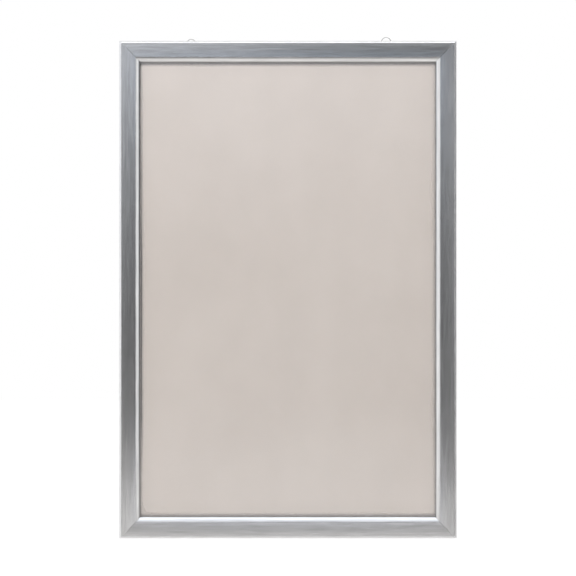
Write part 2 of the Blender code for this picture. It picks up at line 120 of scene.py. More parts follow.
def only(kind, geometry):
    # the vertices or the edges alone, of what an operator hands back
    return [g for g in geometry if isinstance(g, kind)]


def roundOff(bm, corners, radius, segments, clamp=False):
    bmesh.ops.bevel(
        bm,
        geom=corners,
        offset=radius,
        offset_type="OFFSET",
        segments=segments,
        profile=0.5,
        affect="VERTICES",
        material=-1,
        clamp_overlap=clamp,
    )


class Pen:  # draws an outline in that space with bmesh operators, a piece at a time
    def __init__(self, start):
        self.bm = bmesh.new()
        self.tip = bmesh.ops.create_vert(self.bm, co=flat(start))["vert"][0]

    def line(self, *points):
        for point in points:
            self.tip = bmesh.ops.extrude_vert_indiv(self.bm, verts=[self.tip])["verts"][0]
            self.tip.co = flat(point)
        return self

    def arc(self, middle, degrees, steps):
        swept = bmesh.ops.spin(
            self.bm,
            geom=[self.tip],
            cent=flat(middle),
            axis=(1, 0, 0),
            angle=-math.radians(degrees),
            steps=steps,
        )
        self.tip = only(bmesh.types.BMVert, swept["geom_last"])[0]
        return self

    def bow(self, end, rise, steps):
        # a shallow arc to the end point, rising by that much at its middle
        a = self.tip.co.copy()
        b = flat(end)
        chord = b - a
        radius = chord.length ** 2 / (8 * abs(rise)) + abs(rise) / 2
        way = 1 if rise > 0 else -1
        up = Vector((0, chord.z, -chord.y)).normalized() * way
        middle = (a + b) / 2 - up * (radius - abs(rise))
        sweep = 2 * math.degrees(math.asin(chord.length / 2 / radius))
        return self.arc((-middle.z, -middle.y), -sweep * way, steps)

    def ellipse(self, middle, wide, high, start, end, steps):
        # an elliptical arc about a middle, between two angles, joined to the tip
        last = self.tip
        old = set(self.bm.verts)
        corner = flat(around(middle, wide, start))
        self.tip = bmesh.ops.create_vert(self.bm, co=corner)["vert"][0]
        first = self.tip
        self.arc(middle, end - start, steps)
        fresh = [v for v in self.bm.verts if v not in old]
        bmesh.ops.scale(
            self.bm,
            verts=fresh,
            vec=(1, high / wide, 1),
            space=Matrix.Translation(-flat(middle)),
        )
        bmesh.ops.contextual_create(self.bm, geom=[last, first])
        return self

    def close(self, soft, sharp):
        # joins the ends, fills the outline and softens its sharp corners
        bm = self.bm
        bm.verts.ensure_lookup_table()
        bmesh.ops.contextual_create(bm, geom=[self.tip, bm.verts[0]])
        bmesh.ops.remove_doubles(bm, verts=bm.verts, dist=weld)
        bmesh.ops.contextual_create(bm, geom=bm.edges[:])
        corners = []
        for v in bm.verts:
            a, b = [e.other_vert(v).co - v.co for e in v.link_edges]
            if a.angle(-b) > math.radians(sharp):
                corners.append(v)
        roundOff(bm, corners, soft, 3, clamp=True)
        return bm


def frontSection():
    s = section
    hook, skin = s["hinge"], s["skin"]
    edge, ridge, toe = s["faceEdge"], s["ridge"], s["toe"]
    legFrom, legTo = s["legEnds"]
    turn = 90 - s["lipStart"]
    wide = (toe[0] - ridge[0]) / (1 - math.cos(math.radians(turn)))
    high = (ridge[1] - toe[1]) / math.sin(math.radians(turn))
    middle = (toe[0] - wide, toe[1])
    pen = Pen(around(hook, s["hookOuter"], s["hookFront"]))
    pen.line(edge)
    pen.bow(ridge, s["faceCrown"], steps=22)
    pen.ellipse(middle, wide, high, turn, 0, steps=26)
    pen.line((toe[0] - skin, toe[1]))
    pen.ellipse(middle, wide - skin, high - skin, 0, turn, steps=16)
    pen.bow((edge[0] + skin, edge[1] - skin), -s["faceCrown"], steps=8)
    pen.line(around(hook, s["hookOuter"], s["hookMeetsFace"]))
    pen.arc(hook, legFrom - s["hookMeetsFace"], steps=12)
    for degrees, share in s["legShape"]:
        pen.line(around(hook, s["hookOuter"] + s["leg"] * share, degrees))
    pen.line(around(hook, s["hookOuter"], legTo))
    pen.arc(hook, s["hookMouth"] - legTo, steps=5)
    pen.line(around(hook, s["hookInner"], s["hookMouth"]))
    pen.arc(hook, s["hookFront"] - s["hookMouth"], steps=26)
    return pen.close(s["softCorner"], s["sharpCorner"])


def baseSection():
    s = section
    wall, top, rim = s["wall"], s["channelTop"], s["rim"]
    ribLow, ribHigh, ribHeight = s["rib"]
    inner = s["troughInner"] + wall
    gap, edge = s["channelLip"], s["platformEdge"]
    beadStart, beadEnd = s["beadEnds"]
    pen = Pen((0, 0))
    pen.line((0, s["rimTop"] - rim))
    pen.arc((rim, s["rimTop"] - rim), -90, steps=8)
    pen.line(around(s["hinge"], s["bead"], beadStart))
    pen.arc(s["hinge"], beadEnd - beadStart, steps=36)
    pen.line((wall, s["rimTop"] - s["neck"]), (wall, wall), (ribLow, wall))
    pen.line((ribLow, wall + ribHeight), (ribHigh, wall + ribHeight), (ribHigh, wall))
    pen.line((s["troughInner"], wall), (s["troughInner"], s["locatorTop"]))
    pen.line((inner, s["locatorTop"]), (inner, s["platformTop"]), (edge, s["platformTop"]))
    pen.line((edge, top - gap), (edge - wall, top - gap), (edge - wall, top), (inner, top))
    pen.line((inner, wall), (edge - wall, wall), (edge - wall, wall + gap))
    pen.line((edge, wall + gap), (edge, 0))
    return pen.close(s["softCorner"], s["sharpCorner"])


class Wire:  # a node's output socket, so that shader maths reads as plain expressions
    def __init__(self, tree, socket=None):
        self.tree = tree
        self.socket = socket

    def node(self, kind, settings=None, inputs=None, output=0):
        made = self.tree.nodes.new("ShaderNode" + kind)
        for name, value in (settings or {}).items():
            if name == "stops":
                setStops(made.color_ramp, value)
            else:
                setattr(made, name, value)
        for name, value in (inputs or {}).items():
            plug(self.tree, made.inputs[name], value)
        return Wire(self.tree, made.outputs[output])

    def maths(self, operation, *values):
        return self.node("Math", {"operation": operation}, dict(enumerate(values)))

    def __add__(self, other):
        return self.maths("ADD", self, other)

    def __radd__(self, other):
        return self.maths("ADD", other, self)

    def __sub__(self, other):
        return self.maths("SUBTRACT", self, other)

    def __rsub__(self, other):
        return self.maths("SUBTRACT", other, self)

    def __mul__(self, other):
        return self.maths("MULTIPLY", self, other)

    def __rmul__(self, other):
        return self.maths("MULTIPLY", other, self)


def plug(tree, socket, value):
    if isinstance(value, Wire):
        tree.links.new(value.socket, socket)
    elif isinstance(value, (tuple, list)) and len(value) == 3 and socket.type == "RGBA":
        socket.default_value = (*value, 1)
    else:
        socket.default_value = value


def setStops(ramp, stops):
    # stops of grey, each a place on the ramp and its value
    while len(ramp.elements) > 1:
        ramp.elements.remove(ramp.elements[-1])
    for i, (place, value) in enumerate(stops):
        stop = ramp.elements[0] if i == 0 else ramp.elements.new(place)
        stop.position = place
        stop.color = (value, value, value, 1)


def emptyTree(owner):
    owner.use_nodes = True
    owner.node_tree.nodes.clear()
    return Wire(owner.node_tree)


def newMaterial(name):
    material = bpy.data.materials.new(name)
    return material, emptyTree(material)


def setSurface(shader, kind="Material"):
    out = shader.tree.nodes.new("ShaderNodeOutput" + kind)
    shader.tree.links.new(shader.socket, out.inputs["Surface"])


def noise(w, size, detail=2.0, roughness=0.5, place=(0, 0, 0)):
    # fractal noise on Object coordinates, its grain as large as the three sizes, in metres
    where = w.node("TexCoord", None, None, "Object")
    scale = [1 / s for s in size]
    fitted = w.node("Mapping", None, {"Vector": where, "Location": place, "Scale": scale})
    inputs = {"Vector": fitted, "Scale": 1.0, "Detail": detail, "Roughness": roughness}
    return w.node("TexNoise", None, inputs)


def drawnOut(widthAndLength, along):
    # the size of a pattern that runs along one axis
    width, length = widthAndLength
    size = [width] * 3
    size[along] = length
    return size


def tint(w, amount, dark, light):
    return w.node("Mix", {"data_type": "RGBA"}, {0: amount, 6: dark, 7: light}, 2)


def spread(w, value, low, high, newLow, newHigh):
    # a value's range moved on to a new one, and held inside it
    inputs = {
        "Value": value,
        "From Min": low,
        "From Max": high,
        "To Min": newLow,
        "To Max": newHigh,
    }
    return w.node("MapRange", {"clamp": True}, inputs)


def relief(w, strength, depth, height):
    return w.node("Bump", None, {"Strength": strength, "Distance": depth, "Height": height})


usual = (0.3, 0.7)  # where fractal noise mostly lies

brushed = {
    "dark": (0.505, 0.505, 0.51),
    "light": (0.695, 0.695, 0.70),
    "grain": (3.2 * mm, 48 * mm),  # across the brushing, and along it
    "streaks": (1.1 * mm, 160 * mm),
    "hairs": (0.6 * mm, 45 * mm),
    "cloud": 120 * mm,
    "grainPlace": (0.7, 2.9, 1.3),
    "hairsPlace": (3.1, 1.7, 0.4),
    "shares": (0.42, 0.32, 0.14, 0.12),  # of grain, streaks, hairs and cloud in the colour
    "contrast": (0.32, 0.68),
    "reliefShares": (0.6, 0.4),  # of hairs and streaks
    "roughness": (0.18, 0.24),
    "anisotropic": 0.5,
    "bump": 0.06,
    "bumpDepth": 0.02 * mm,
}


def brushedAluminium(name, along):
    # anodised face, brushed along x on the top and bottom rails and along z on the others
    s = brushed
    material, w = newMaterial(name)
    grain = noise(w, drawnOut(s["grain"], along), place=s["grainPlace"])
    streaks = noise(w, drawnOut(s["streaks"], along), detail=3.0, roughness=0.6)
    hairs = noise(w, drawnOut(s["hairs"], along), place=s["hairsPlace"])
    cloud = noise(w, [s["cloud"]] * 3)
    grainShare, streakShare, hairShare, cloudShare = s["shares"]
    mix = grain * grainShare + streaks * streakShare + hairs * hairShare + cloud * cloudShare
    scratches = hairs * s["reliefShares"][0] + streaks * s["reliefShares"][1]
    sockets = {
        "Base Color": tint(w, spread(w, mix, *s["contrast"], 0, 1), s["dark"], s["light"]),
        "Metallic": 1.0,
        "Roughness": spread(w, scratches, *usual, *s["roughness"]),
        "Anisotropic": s["anisotropic"],
        "Anisotropic Rotation": 0.25 if along == 0 else 0.0,  # a share of a full turn
        "Normal": relief(w, s["bump"], s["bumpDepth"], scratches),
    }
    setSurface(w.node("BsdfPrincipled", None, sockets))
    return material


satin = {
    "dark": (0.70, 0.70, 0.71),
    "light": (0.84, 0.84, 0.85),
    "lines": (0.5 * mm, 300 * mm),
    "cloud": 50 * mm,
    "shares": (0.6, 0.4),  # of lines and cloud
    "roughness": (0.22, 0.32),
    "bump": 0.06,
    "bumpDepth": 0.02 * mm,
}


def satinAluminium(name, along):
    # the extruded rails behind, with faint die lines along them
    s = satin
    material, w = newMaterial(name)
    lines = noise(w, drawnOut(s["lines"], along), detail=3.0, roughness=0.6)
    cloud = noise(w, [s["cloud"]] * 3, detail=3.0)
    mix = lines * s["shares"][0] + cloud * s["shares"][1]
    sockets = {
        "Base Color": tint(w, spread(w, mix, *usual, 0, 1), s["dark"], s["light"]),
        "Metallic": 1.0,
        "Roughness": spread(w, mix, *usual, *s["roughness"]),
        "Normal": relief(w, s["bump"], s["bumpDepth"], lines),
    }
    setSurface(w.node("BsdfPrincipled", None, sockets))
    return material


speckled = {  # darkest and lightest tone, size of the grain, roughness, and bump
    "zincPlate": ((0.50, 0.51, 0.50), (0.68, 0.69, 0.66), 0.8 * mm, (0.28, 0.45), 0.10),
    "springSteel": ((0.30, 0.31, 0.33), (0.45, 0.46, 0.48), 0.6 * mm, (0.25, 0.40), 0.10),
    "nickelWire": ((0.40, 0.39, 0.37), (0.48, 0.47, 0.45), 0.5 * mm, (0.16, 0.28), 0.05),
    "rivetMetal": ((0.60, 0.60, 0.61), (0.76, 0.76, 0.77), 0.5 * mm, (0.25, 0.40), 0.05),
}
speckling = {
    "broad": 14,  # how many times larger the second grain is
    "shares": (0.5, 0.5),  # of the fine and the broad grain
    "depthShare": 0.1,  # of the fine grain's size
}


def speckledMetal(name, dark, light, grain, roughness, bump):
    # plated or bare metal with a fine all-over grain
    s = speckling
    material, w = newMaterial(name)
    fine = noise(w, [grain] * 3, detail=4.0, roughness=0.6)
    broad = noise(w, [grain * s["broad"]] * 3)
    mix = fine * s["shares"][0] + broad * s["shares"][1]
    sockets = {
        "Base Color": tint(w, spread(w, mix, *usual, 0, 1), dark, light),
        "Metallic": 1.0,
        "Roughness": spread(w, mix, *usual, *roughness),
        "Normal": relief(w, bump, grain * s["depthShare"], fine),
    }
    setSurface(w.node("BsdfPrincipled", None, sockets))
    return material


board = {
    "dark": (0.595, 0.533, 0.48),
    "light": (0.625, 0.563, 0.505),
    "fibre": 0.9 * mm,
    "cloud": (170 * mm, 170 * mm, 230 * mm),
    "shares": (0.3, 0.7),  # of fibre and cloud
    "roughness": 0.7,
    "bump": 0.1,
    "bumpDepth": 0.05 * mm,
}


def boardMaterial():
    s = board
    material, w = newMaterial("backingBoard")
    fibre = noise(w, [s["fibre"]] * 3, detail=4.0, roughness=0.6)
    cloud = noise(w, s["cloud"])
    mix = fibre * s["shares"][0] + cloud * s["shares"][1]
    sockets = {
        "Base Color": tint(w, spread(w, mix, *usual, 0, 1), s["dark"], s["light"]),
        "Roughness": s["roughness"],
        "Normal": relief(w, s["bump"], s["bumpDepth"], fibre),
    }
    setSurface(w.node("BsdfPrincipled", None, sockets))
    return material


film = {
    "dark": (0.675, 0.605, 0.545),
    "light": (0.70, 0.63, 0.57),
    "alpha": (0.46, 0.50),
    "haze": (190 * mm, 190 * mm, 260 * mm),
    "hazePlace": (0.3, 0, 0.7),
    "pebbles": 0.35 * mm,
    "shares": (0.7, 0.3),  # of haze and pebbles in the gloss
    "roughness": (0.22, 0.27),
    "bump": 0.08,
    "bumpDepth": 0.02 * mm,
    "ior": 1.9,
    "specular": 1.0,
    "coat": 1.0,
    "coatRoughness": 0.22,
    "edge": (0.05, 0.046, 0.043),  # the colour of the painted shade along the lips, standing in for their contact shadow
    # how clear the sheet is of that painted shade: mm inside the lips, and a factor
    "sideFade": ((-1.5, 1), (0, 0.84), (3.9, 0.93), (10, 0.97), (30, 1)),
    "middleFade": (
        (-1.5, 1),
        (-0.5, 0.10),
        (1.5, 0.12),
        (2.6, 0.72),
        (6, 0.92),
        (10, 0.97),
        (30, 1),
    ),
    "endFade": (
        (-1.5, 1),
        (-0.3, 0.26),
        (2.1, 0.32),
        (3.9, 0.48),
        (6, 0.86),
        (9, 0.97),
        (30, 1),
    ),
    "middle": ((0, 0), (0.12, 0), (0.24, 0.9), (0.3, 1), (0.55, 1), (0.95, 0)),  # up the frame: how far the sides' painted shade deepens, most half way up
    "rightShare": 0.25,  # how much of that deeper painted shade the right side has
    "halves": 1 * mm,  # from the centre, where the left and the right half begin
}


def fade(w, distance, stops):
    # a factor that runs through the stops, each a distance in mm and its value
    first, last = stops[0][0], stops[-1][0]
    greys = [((d - first) / (last - first), value) for d, value in stops]
    share = spread(w, distance, first * mm, last * mm, 0, 1)
    return w.node("ValToRGB", {"stops": greys}, {"Fac": share})


def paintedLipShade(w):
    # painted shade: a factor that darkens the sheet near the line where the front rails' lips press
    # on it, standing in for their contact shadow
    s = film
    reach = section["toe"][0]
    place = w.node("TexCoord", None, None, "Object")
    x = w.node("SeparateXYZ", None, {"Vector": place}, "X")
    z = w.node("SeparateXYZ", None, {"Vector": place}, "Z")
    inside = frameWidth / 2 - reach - w.maths("ABSOLUTE", x)
    above = frameHeight / 2 - reach - w.maths("ABSOLUTE", z - centre.z)
    up = spread(w, z, railLow.z, railHigh.z, 0, 1)
    middle = w.node("ValToRGB", {"stops": s["middle"]}, {"Fac": up})
    middle = middle * spread(w, x, -s["halves"], s["halves"], 1, s["rightShare"])
    side = fade(w, inside, s["sideFade"])
    side = side + (fade(w, inside, s["middleFade"]) - side) * middle
    return side * fade(w, above, s["endFade"])


def filmMaterial():
    # anti-glare cover: a fine pebbled haze over the board, with painted shade along the lips
    s = film
    material, w = newMaterial("coverFilm")
    # clear is 1 on the open sheet and lower in the painted shade along the lips, which colour and
    # alpha carry
    clear = paintedLipShade(w)
    haze = noise(w, s["haze"], detail=2.5, place=s["hazePlace"])
    pebbles = noise(w, [s["pebbles"]] * 3)
    body = tint(w, spread(w, haze, *usual, 0, 1), s["dark"], s["light"])
    gloss = haze * s["shares"][0] + pebbles * s["shares"][1]
    sockets = {
        "Base Color": tint(w, clear, s["edge"], body),
        "Roughness": spread(w, gloss, *usual, *s["roughness"]),
        "Alpha": w.maths("MAXIMUM", spread(w, haze, *usual, *s["alpha"]), 1 - clear),
        "IOR": s["ior"],
        "Specular IOR Level": s["specular"],
        "Coat Weight": s["coat"],
        "Coat Roughness": s["coatRoughness"],
        "Normal": relief(w, s["bump"], s["bumpDepth"], pebbles),
    }
    setSurface(w.node("BsdfPrincipled", None, sockets))
    return material


# the rails' metals, for those that lie (True) and those that stand
faceMetal = {True: brushedAluminium("brushedAlongX", 0), False: brushedAluminium("brushedAlongZ", 2)}
railMetal = {True: satinAluminium("satinAlongX", 0), False: satinAluminium("satinAlongZ", 2)}
metal = {name: speckledMetal(name, *looks) for name, looks in speckled.items()}
backing = boardMaterial()
cover = filmMaterial()
print("materials made")


def dress(node, material):
    if not nodes[node].material_slots:
        nodes[node].data.materials.append(material)
    for holder in nodes[node].material_slots:
        holder.material = material


for name in nodes:
    if name.startswith(("corner_key", "grub_screw")):
        dress(name, metal["zincPlate"])
    elif name == "backing_board":
        dress(name, backing)
    elif name == "cover_sheet":
        dress(name, cover)


def mitred(bm, length):
    # the section pulled out to the rail's length, both ends sheared to 45 degrees
    start = section["mitreGap"] - length / 2
    bmesh.ops.translate(bm, verts=bm.verts[:], vec=(start, 0, 0))
    grown = bmesh.ops.extrude_face_region(bm, geom=bm.faces[:])["geom"]
    far = only(bmesh.types.BMVert, grown)
    bmesh.ops.translate(bm, verts=far, vec=(-2 * start, 0, 0))
    near = [v for v in bm.verts if v not in set(far)]
    for ends, slant in ((near, -1), (far, 1)):
        shear = Matrix(((1, 0, slant, 0), (0, 1, 0, 0), (0, 0, 1, 0), (0, 0, 0, 1)))
        bmesh.ops.transform(bm, matrix=shear, verts=ends)
    return bm


def onSide(side):
    # carries the top rail's space to any side of the frame
    reach = (frameHeight if side in lying else frameWidth) / 2
    turn = Matrix.Rotation(math.radians(90) * sides.index(side), 4, "Y")
    return Matrix.Translation(centre) @ turn @ Matrix.Translation((0, 0, reach))


def sideLength(side):
    return frameWidth if side in lying else frameHeight


def addObject(name, data):
    made = bpy.data.objects.new(name, data)
    bpy.context.scene.collection.objects.link(made)
    return made


def makeMesh(name, bm):
    bmesh.ops.remove_doubles(bm, verts=bm.verts, dist=weld)
    bmesh.ops.recalc_face_normals(bm, faces=bm.faces)
    mesh = bpy.data.meshes.new(name)
    bm.to_mesh(mesh)
    bm.free()
    return mesh


def addPiece(name, bm, place, material):
    mesh = makeMesh(name, bm)
    mesh.materials.append(material)
    mesh.transform(place)
    return addObject(name, mesh)


def settle(piece):
    # gives the piece the mesh that its modifiers make, and drops them
    bpy.context.view_layer.update()
    seen = piece.evaluated_get(bpy.context.evaluated_depsgraph_get())
    piece.data = bpy.data.meshes.new_from_object(seen)
    piece.modifiers.clear()


def carve(piece, bm, place):
    # takes the shapes in bm out of the piece, and leaves it a plain mesh
    tool = addObject("tool", makeMesh("tool", bm))
    tool.data.transform(place)
    cut = piece.modifiers.new("cut", "BOOLEAN")
    cut.object = tool
    settle(piece)
    bpy.data.objects.remove(tool)


def smooth(piece, degrees=crisp):
    piece.data.shade_smooth()
    piece.data.set_sharp_from_angle(angle=math.radians(degrees))
    even = piece.modifiers.new("even", "WEIGHTED_NORMAL")
    even.keep_sharp = True
    settle(piece)


def block(bm, low, high):
    size = Vector(high) - Vector(low)
    place = Matrix.Translation((Vector(low) + Vector(high)) / 2)
    bmesh.ops.create_cube(bm, size=1, matrix=place @ Matrix.Diagonal((*size, 1)))


def drum(bm, radius, depth, x, y, z):
    # a cylinder along y, for a drilled hole
    place = Matrix.Translation((x, y, z)) @ Matrix.Rotation(math.radians(90), 4, "X")
    bmesh.ops.create_cone(
        bm,
        cap_ends=True,
        segments=32,
        radius1=radius,
        radius2=radius,
        depth=depth,
        matrix=place,
    )


def frontRail(side):
    s = section
    length = sideLength(side)
    place = onSide(side)
    bm = mitred(frontSection(), length)
    rail = addPiece("frontRail" + side.capitalize(), bm, place, faceMetal[side in lying])
    trims = bmesh.new()
    hinge = flat(s["hinge"])
    swing = s["hookOuter"] + s["leg"] + s["trimSpare"]
    reach = length / 2
    for end in (-1, 1):
        low, high = sorted((end * (reach + s["trimSpare"]), end * (reach - s["cornerTrim"])))
        block(
            trims,
            (low, hinge.y - s["trimFront"], hinge.z - swing),
            (high, hinge.y + swing, hinge.z + swing),
        )
    carve(rail, trims, place)
    smooth(rail)
    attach(rail, "front_rail_" + side)
    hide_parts("front_rail_" + side)


holes = {
    "wallScrew": (2.25 * mm, 62 * mm, 6.55 * mm),  # radius, in from the end, in from the edge
    "grubAccess": (1.7 * mm, 58 * mm, 27.4 * mm),
    "rivet": 1.8 * mm,
}


def baseRail(side):
    length = sideLength(side)
    place = onSide(side)
    bm = mitred(baseSection(), length)
    rail = addPiece("baseRail" + side.capitalize(), bm, place, railMetal[side in lying])
    drills = bmesh.new()
    wall = section["wall"]
    for end in (-1, 1):
        for radius, fromEnd, fromEdge in (holes["wallScrew"], holes["grubAccess"]):
            drum(drills, radius, 2 * wall, end * (length / 2 - fromEnd), -wall / 2, -fromEdge)
    if side == "top":
        for hanger in hangers:
            pin = rivetPlace(hanger)
            drum(drills, holes["rivet"], 2 * wall, pin.x, -wall / 2, pin.z - railHigh.z)
    carve(rail, drills, place)
    smooth(rail)
    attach(rail, "frame")
    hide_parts("base_rail_" + side)


def stretchEdges(bm, edges, vector):
    # pulls the edges out into faces, and gives the edges at the far end
    grown = bmesh.ops.extrude_edge_only(bm, edges=edges)["geom"]
    far = only(bmesh.types.BMVert, grown)
    bmesh.ops.translate(bm, verts=far, vec=vector)
    return [e for e in only(bmesh.types.BMEdge, grown) if all(v in far for v in e.verts)]


def bentStrip(pen, width, sheet, isEnd, corner, segments):
    # the drawn line as a strip of sheet metal, with the corners of one end rounded off
    bm = pen.bm
    stretchEdges(bm, bm.edges[:], (width, 0, 0))
    roundOff(bm, [v for v in bm.verts if isEnd(v.co)], corner, segments)
    bmesh.ops.recalc_face_normals(bm, faces=bm.faces)
    front = min(bm.faces, key=lambda f: f.calc_center_median().y)
    if front.normal.y > 0:
        bmesh.ops.reverse_faces(bm, faces=bm.faces)
    bmesh.ops.solidify(bm, geom=bm.faces[:], thickness=sheet)
    bmesh.ops.translate(bm, verts=bm.verts, vec=(-width / 2, 0, 0))
    return bm


spring = {
    "thick": 0.5 * mm,
    "width": 26 * mm,
    "foot": (13.3 * mm, 1.75 * mm),  # on the strip's outer skin, as the next three are
    "archMiddle": (10.6 * mm, 8.4 * mm),
    "knee": (7.9 * mm, 6.4 * mm),
    "tip": (7.5 * mm, 4.95 * mm),
    "footCorner": 2.0 * mm,
    "footSteps": 5,
    "archSteps": 20,
    "bends": (12.5 * mm, 8.1 * mm),  # from where it stands still to where it moves with the rail
    "count": {"top": 2, "right": 3, "bottom": 2, "left": 3},
}


def snapSpring(side, i):
    s = spring
    foot, arch = s["foot"], s["archMiddle"]
    pen = Pen(foot)
    pen.line((foot[0], arch[1]))
    pen.arc(arch, 180, steps=s["archSteps"])
    pen.line(s["knee"], s["tip"])
    corner, steps = s["footCorner"], s["footSteps"]
    bm = bentStrip(
        pen, s["width"], s["thick"], lambda co: abs(co.y + foot[1]) < touching, corner, steps
    )
    middle = sideLength(side) * ((i + 0.5) / s["count"][side] - 0.5)
    bmesh.ops.translate(bm, verts=bm.verts, vec=(middle, 0, 0))
    place = onSide(side)
    strip = addPiece(f"snapSpring{side.capitalize()}{i + 1}", bm, place, metal["springSteel"])
    smooth(strip)
    still, moved = [place @ flat((u, arch[1])) for u in s["bends"]]
    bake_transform(strip)
    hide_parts(f"snap_spring_{side}_{i + 1}")


hanging = {
    "strapWidth": 10 * mm,
    "sheet": 0.6 * mm,
    "seam": 0.04 * mm,  # between the strap's two layers
    "strapFront": 0.305 * mm,  # behind the frame's back
    "strapTail": 7 * mm,
    "tailCorner": 3 * mm,
    "tailSteps": 8,
    "foldSteps": 30,
    "pivotBehind": 1.95 * mm,
    "pivotAbove": 12 * mm,  # the ring's straight side, over the rivet
    "bore": 1.045 * mm,
    "wire": 0.735 * mm,
    "ringRadius": 9.035 * mm,
    "ringLeg": 4 * mm,
    "ringCorner": 1.8 * mm,
    "cornerSteps": 10,
    "ringSteps": 48,
    "wireSides": 20,
    "wireCrisp": 60,  # degrees, so that the whole wire is smooth
    "tilt": {"left": 6, "right": 4},
}


def rivetPlace(hanger):
    joint = [j for j in frame["joints"] if j["name"] == hanger + "_hanger_swivel"][0]
    return Vector(joint["pos_m"])


def onHanger(hanger):
    # the rivet's own space: x across the strap, y away from the rail, z along the strap
    pin = rivetPlace(hanger)
    tilt = math.radians(hanging["tilt"][hanger])
    return Matrix.Translation((pin.x, 0, pin.z)) @ Matrix.Rotation(tilt, 4, "Y")


def hangerRing(hanger):
    s = hanging
    corner, leg, steps = s["ringCorner"], s["ringLeg"], s["cornerSteps"]
    side = s["ringRadius"] - corner
    bm = bmesh.new()
    bmesh.ops.create_circle(
        bm,
        cap_ends=False,
        segments=s["wireSides"],
        radius=s["wire"],
        matrix=Matrix.Translation((-side, 0, 0)) @ Matrix.Rotation(math.radians(90), 4, "Y"),
    )

    def bend(loop, middle, degrees, steps):
        swept = bmesh.ops.spin(
            bm,
            geom=loop,
            cent=middle,
            axis=(0, -1, 0),
            angle=math.radians(degrees),
            steps=steps,
        )
        return only(bmesh.types.BMEdge, swept["geom_last"])

    loop = stretchEdges(bm, bm.edges[:], (2 * side, 0, 0))
    loop = bend(loop, (side, 0, corner), 90, steps)
    loop = stretchEdges(bm, loop, (0, 0, leg - corner))
    loop = bend(loop, (0, 0, leg), 180, s["ringSteps"])
    loop = stretchEdges(bm, loop, (0, 0, corner - leg))
    bend(loop, (-side, 0, corner), 90, steps)
    place = onHanger(hanger) @ Matrix.Translation((0, s["pivotBehind"], s["pivotAbove"]))
    ring = addPiece("hangerRing" + hanger.capitalize(), bm, place, metal["nickelWire"])
    smooth(ring, s["wireCrisp"])
    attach(ring, "hanger_ring_" + hanger)
    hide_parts("hanger_ring_" + hanger)


def hangerStrap(hanger):
    # one strip folded round the ring's bar, so that its two layers show at the edges
    s = hanging
    tail, front = s["strapTail"], s["strapFront"]
    back = front + 2 * s["sheet"] + s["seam"]
    dip = math.asin((s["pivotBehind"] - back) / (s["bore"] + s["sheet"]))
    pen = Pen((tail, -front))
    pen.line((-s["pivotAbove"], -front))
    pen.arc((-s["pivotAbove"], -s["pivotBehind"]), 270 - math.degrees(dip), s["foldSteps"])
    pen.line((tail, -back))
    width, corner, steps = s["strapWidth"], s["tailCorner"], s["tailSteps"]
    bm = bentStrip(
        pen, width, s["sheet"], lambda co: abs(co.z + tail) < touching, corner, steps
    )
    place = onHanger(hanger)
    strap = addPiece("hangerStrap" + hanger.capitalize(), bm, place, metal["zincPlate"])
    smooth(strap)
    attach(strap, "hanger_strap_" + hanger)
    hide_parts("hanger_strap_" + hanger)


rivet = {  # heights are behind the frame's back, so the tail's are inside the rail
    "shank": 1.5 * mm,
    "head": 3.1 * mm,
    "headHeight": 1.1 * mm,
    "headFrom": 1.8 * mm,
    "headChamfer": 0.15 * mm,
    "tail": 2.3 * mm,
    "tailFrom": -1.7 * mm,
    "tailLength": 1.9 * mm,
    "tailChamfer": 0.5 * mm,
    "mandrel": 0.8 * mm,
    "mandrelDrop": 0.45 * mm,
    "domeSteps": 12,
    "sides": 40,
}


def hangerRivet(hanger):
    # half of its outline is drawn, and spun about the rivet's axis
    s = rivet
    low = s["tailFrom"] - s["tailLength"]
    brim = s["headFrom"] + s["headChamfer"]
    top = s["headFrom"] + s["headHeight"]
    outline = [
        (s["tail"] - s["tailChamfer"], low),
        (s["tail"], low + s["tailChamfer"]),
        (s["tail"], s["tailFrom"]),
        (s["shank"], s["tailFrom"]),
        (s["shank"], s["headFrom"]),
        (s["head"] - s["headChamfer"], s["headFrom"]),
        (s["head"], brim),
    ]
    for i in range(1, s["domeSteps"] + 1):
        turn = math.radians(90) * i / s["domeSteps"]
        radius = s["mandrel"] + (s["head"] - s["mandrel"]) * math.cos(turn)
        outline.append((radius, brim + (top - brim) * math.sin(turn)))
    outline += [(s["mandrel"], top - s["mandrelDrop"]), (0, top - s["mandrelDrop"])]
    pen = Pen((0, -low))
    pen.line(*[(radius, -height) for radius, height in outline])
    bm = pen.bm
    bmesh.ops.spin(
        bm,
        geom=bm.verts[:] + bm.edges[:],
        cent=(0, 0, 0),
        axis=(0, 1, 0),
        angle=math.radians(360),
        steps=s["sides"],
        use_merge=True,
    )
    place = onHanger(hanger)
    pin = addPiece("hangerRivet" + hanger.capitalize(), bm, place, metal["rivetMetal"])
    smooth(pin)
    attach(pin, "frame")
    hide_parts("hanger_rivet_" + hanger)


for side in sides:
    frontRail(side)
    baseRail(side)
    for i in range(spring["count"][side]):
        snapSpring(side, i)
print("rails and springs made")
for hanger in hangers:
    hangerRing(hanger)
    hangerStrap(hanger)
    hangerRivet(hanger)
print("hangers made")


view = {
    "distance": 6.0,
    "pixels": 576,
    "perPixel": 1.900 * mm,  # at the frame's own plane
    "frameCentre": (287.95, 289.6),  # where the frame's middle is in the photo, in pixels
    "sensor": 36.0,
    "clipEnd": 60,
}


def makeCamera():
    s = view
    data = bpy.data.cameras.new("photoCamera")
    data.sensor_width = s["sensor"]
    data.lens = s["sensor"] * s["distance"] / (s["pixels"] * s["perPixel"])
    data.clip_end = s["clipEnd"]
    across = s["pixels"] / 2 - s["frameCentre"][0]
    up = s["frameCentre"][1] - s["pixels"] / 2
    camera = addObject("photoCamera", data)
    camera.location = (across * s["perPixel"], -s["distance"], centre.z + up * s["perPixel"])
    camera.rotation_euler = (math.radians(90), 0, 0)
    bpy.context.scene.camera = camera


